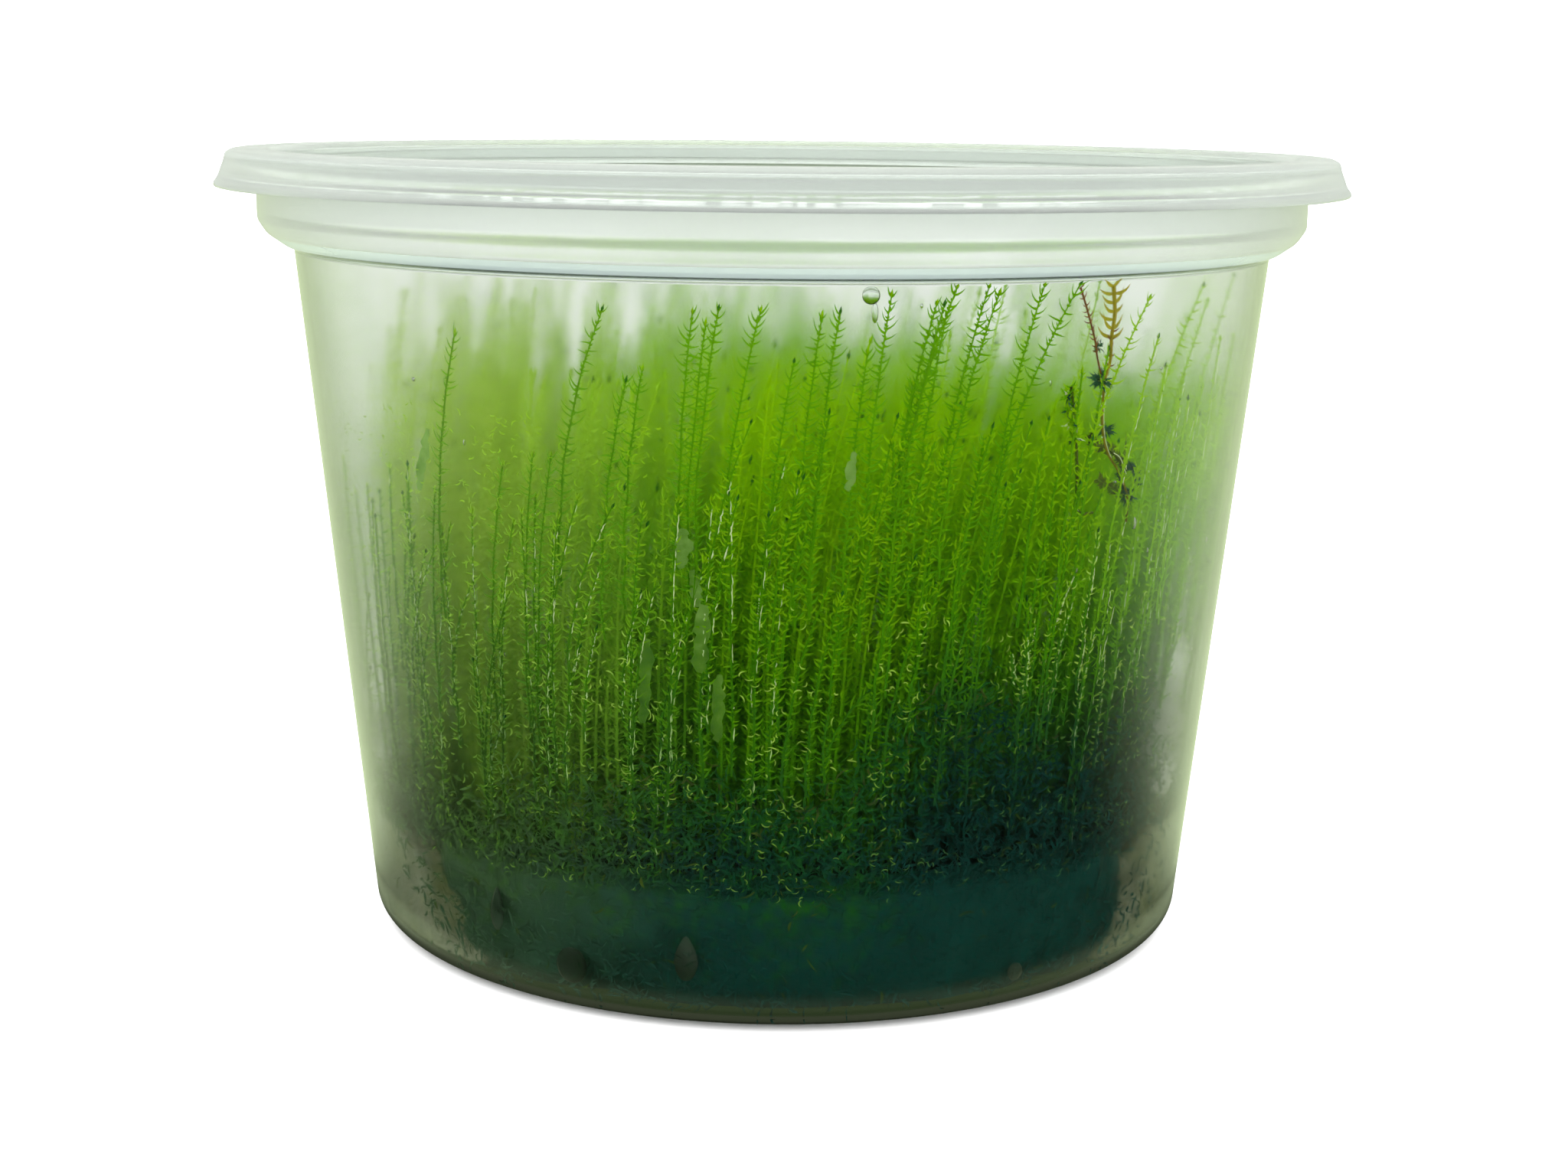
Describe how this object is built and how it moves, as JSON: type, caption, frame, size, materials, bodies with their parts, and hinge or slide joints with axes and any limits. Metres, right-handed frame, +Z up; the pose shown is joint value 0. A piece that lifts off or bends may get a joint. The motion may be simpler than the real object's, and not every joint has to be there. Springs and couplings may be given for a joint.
{
  "type": "feather moss tissue culture cup",
  "caption": "Clear round snap-lid cup of upright feather moss shoots rooted in a mat on nutrient gel, for sterile growing and sale of aquarium moss.",
  "frame": {"origin": "middle of the cup's foot, on the surface that it stands on", "axes": "+Z up along the cup's axis; -Y towards the picture's viewer; +X to the viewer's right"},
  "size_m": [0.117, 0.117, 0.0807],
  "materials": {
    "cup_plastic": "clear polypropylene with a faint haze",
    "lid_plastic": "clear polypropylene with a faint haze",
    "gel": "wet, pale straw-coloured clear gel",
    "old_moss": "wet matted moss, very dark green",
    "green_moss": "moist translucent moss leaves",
    "yellow_stem": "old yellow-brown moss stem",
    "green_stem": "bent green moss stem"
  },
  "bodies": {
    "root": {"cup": "cup_plastic", "lid": "lid_plastic", "nutrient_gel": "gel", "moss_mat": "old_moss", "tuft_centre": "green_moss", "tuft_inner_right": "green_moss", "tuft_inner_back_right": "green_moss", "tuft_inner_back_left": "green_moss", "tuft_inner_left": "green_moss", "tuft_inner_front_left": "green_moss", "tuft_inner_front_right": "green_moss", "tuft_outer_right": "green_moss", "tuft_outer_back_far_right": "green_moss", "tuft_outer_back_right": "green_moss", "tuft_outer_back_left": "green_moss", "tuft_outer_back_far_left": "green_moss", "tuft_outer_left": "green_moss", "tuft_outer_front_far_left": "green_moss", "tuft_outer_front_left": "green_moss", "tuft_outer_front_right": "green_moss", "tuft_outer_front_far_right": "green_moss", "old_stem": "yellow_stem", "old_stem_branch": "yellow_stem", "hooked_stem": "green_stem"}
  },
  "joints": []
}
